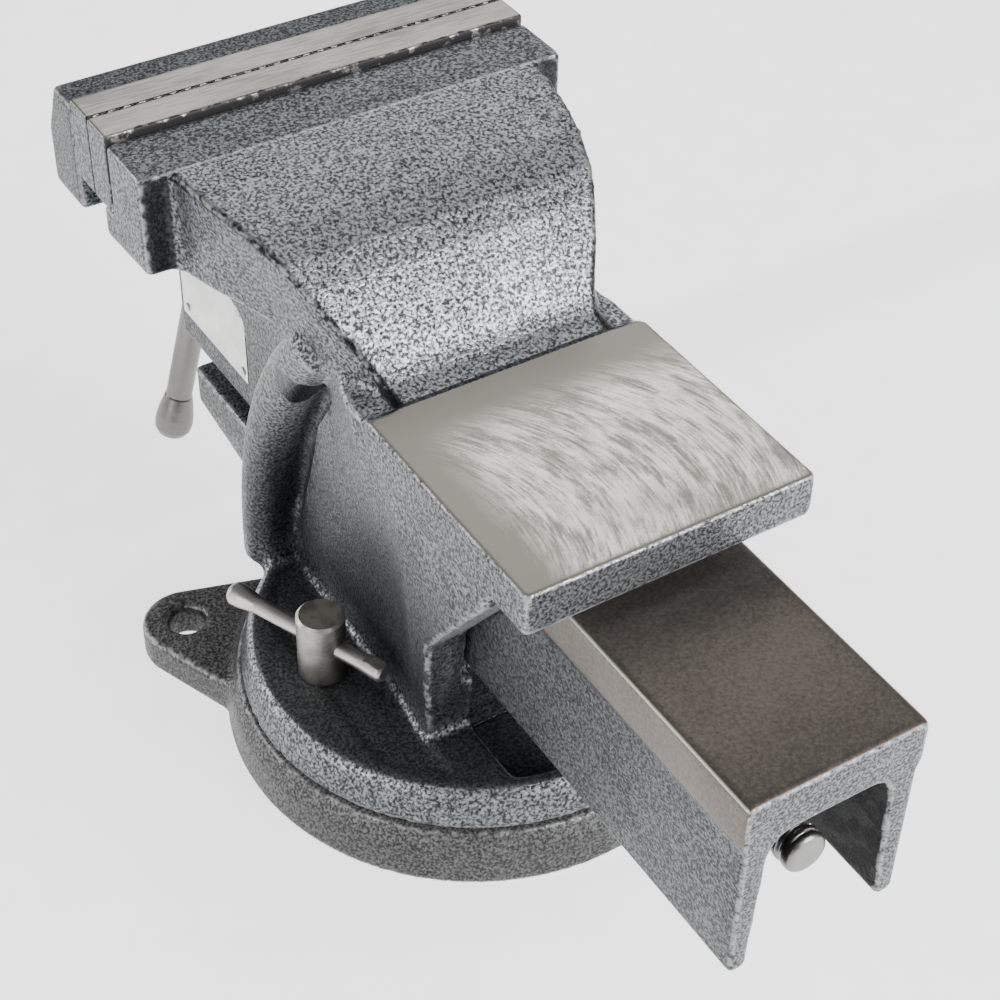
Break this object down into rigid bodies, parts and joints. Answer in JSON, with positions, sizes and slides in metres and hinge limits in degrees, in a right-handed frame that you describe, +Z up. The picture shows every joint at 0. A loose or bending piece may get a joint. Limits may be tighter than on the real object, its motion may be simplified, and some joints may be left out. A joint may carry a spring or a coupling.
{
  "type": "bench vise",
  "caption": "Swivel-base bench vise with flat anvil, inverted-U slide, lead screw with sliding handle and two lock bolts that clamp the swivel.",
  "frame": {"origin": "on the swivel axis, at the underside of the base where it rests on the bench; centre of the two bench bolt holes", "axes": "+Z up, +Y towards the tail of the slide and the anvil, -Y towards the main handle, +X along the jaws"},
  "size_m": [0.1816, 0.3853, 0.2045],
  "materials": {
    "hammer_paint_base": "silver-grey hammertone paint on cast iron",
    "hammer_paint_body": "silver-grey hammertone paint on cast iron; anvil face milled",
    "hammer_paint_slide": "silver-grey hammertone paint on cast iron; top and upper sides of the slide machined",
    "ground_steel": "ground, cross-cut gripping face",
    "black_screw_steel": "black oxide",
    "turned_steel": "turned",
    "zinc_steel": "bright zinc",
    "spring_steel": "oiled",
    "raw_cast_iron": "as cast and oiled",
    "satin_steel": "satin nickel",
    "lock_steel": "turned, clear zinc",
    "white_plate": "plain white enamel, blank"
  },
  "bodies": {
    "base": {"swivel_base": "hammer_paint_base"},
    "vise_body": {"fixed_body": "hammer_paint_body", "fixed_jaw_plate": "ground_steel", "fixed_jaw_screws": "black_screw_steel", "spindle_nut": "raw_cast_iron", "nut_bolt": "black_screw_steel", "nut_washer": "zinc_steel", "lock_t_nut_left": "raw_cast_iron", "lock_t_nut_right": "raw_cast_iron"},
    "slide": {"moving_jaw": "hammer_paint_slide", "moving_jaw_plate": "ground_steel", "moving_jaw_screws": "black_screw_steel", "nameplate": "white_plate", "nameplate_pins": "zinc_steel"},
    "screw": {"lead_screw": "turned_steel", "thrust_washer": "zinc_steel", "spring_seat_washer": "zinc_steel", "thrust_spring": "spring_steel", "spring_collar": "zinc_steel", "cotter_pin": "zinc_steel"},
    "handle": {"main_handle_bar": "satin_steel", "handle_cap_lower": "satin_steel", "handle_cap_upper": "satin_steel"},
    "lock_bolt_l": {"lock_bolt_left": "lock_steel"},
    "lock_bar_l": {"lock_bar_left": "lock_steel"},
    "lock_bolt_r": {"lock_bolt_right": "lock_steel"},
    "lock_bar_r": {"lock_bar_right": "lock_steel"}
  },
  "joints": [
    {"name": "swivel", "type": "hinge", "parent": "base", "child": "vise_body", "pos_m": [0, 0, 0.02], "axis": [0, 0, 1], "continuous": true},
    {"name": "jaw_slide", "type": "slide", "parent": "vise_body", "child": "slide", "axis": [0, -1, 0], "range_m": [0, 0.15]},
    {"name": "screw_turn", "type": "hinge", "parent": "slide", "child": "screw", "pos_m": [0, -0.15, 0.09], "axis": [0, -1, 0], "range_deg": [0, 13510]},
    {"name": "handle_slide", "type": "slide", "parent": "screw", "child": "handle", "axis": [-0.2588, 0, 0.9659], "range_m": [0, 0.063]},
    {"name": "lock_turn_left", "type": "hinge", "parent": "vise_body", "child": "lock_bolt_l", "pos_m": [0.055, -0.006, 0.04], "axis": [0, 0, 1], "range_deg": [-28, 0]},
    {"name": "lock_bar_slide_left", "type": "slide", "parent": "lock_bolt_l", "child": "lock_bar_l", "axis": [-0.3843, 0.9232, 0], "range_m": [-0.0085, 0.0025]},
    {"name": "lock_turn_right", "type": "hinge", "parent": "vise_body", "child": "lock_bolt_r", "pos_m": [-0.055, -0.006, 0.04], "axis": [0, 0, 1], "range_deg": [0, 14]},
    {"name": "lock_bar_slide_right", "type": "slide", "parent": "lock_bolt_r", "child": "lock_bar_r", "axis": [-0.0698, 0.9976, 0], "range_m": [-0.0155, 0.0115]}
  ],
  "couplings": [
    {"joint": "screw_turn", "follows": "jaw_slide", "rad_per_m": 1570.8}
  ]
}
